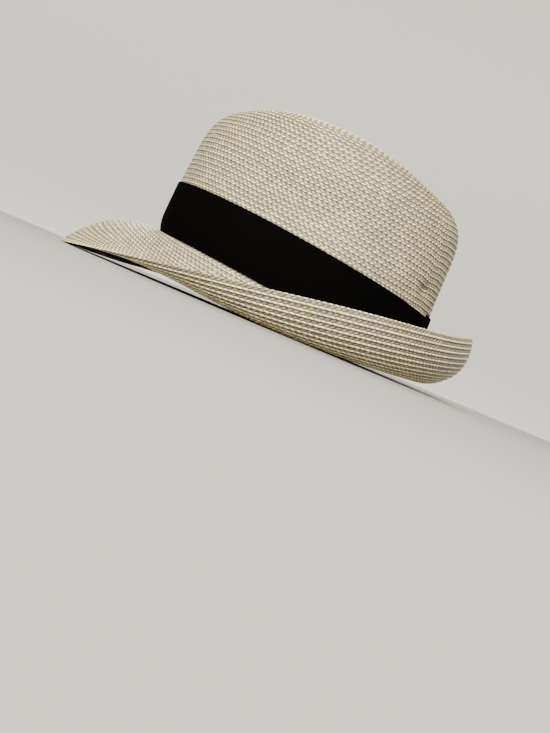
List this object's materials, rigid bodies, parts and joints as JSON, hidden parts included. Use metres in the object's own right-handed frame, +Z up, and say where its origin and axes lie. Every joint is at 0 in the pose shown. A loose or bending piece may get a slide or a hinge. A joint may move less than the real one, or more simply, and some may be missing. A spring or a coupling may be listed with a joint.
{
  "type": "fedora",
  "caption": "Straw braid fedora: hollow creased crown, brim dipped at the front and rolled up at the sides and back, dark ribbon band round the crown's foot. Worn on the head.",
  "frame": {"origin": "on the surface that the hat rests on, under the middle of its box", "axes": "+Z up, -Y towards the front of the hat, +X towards the wearer's left"},
  "size_m": [0.2786, 0.2932, 0.1383],
  "materials": {
    "straw": "glossy plaited straw braid, sewn in overlapping rows",
    "ribbon": "matt ribbed black ribbon"
  },
  "bodies": {
    "root": {"crown": "straw", "brim": "straw", "hat_band": "ribbon"}
  },
  "joints": []
}
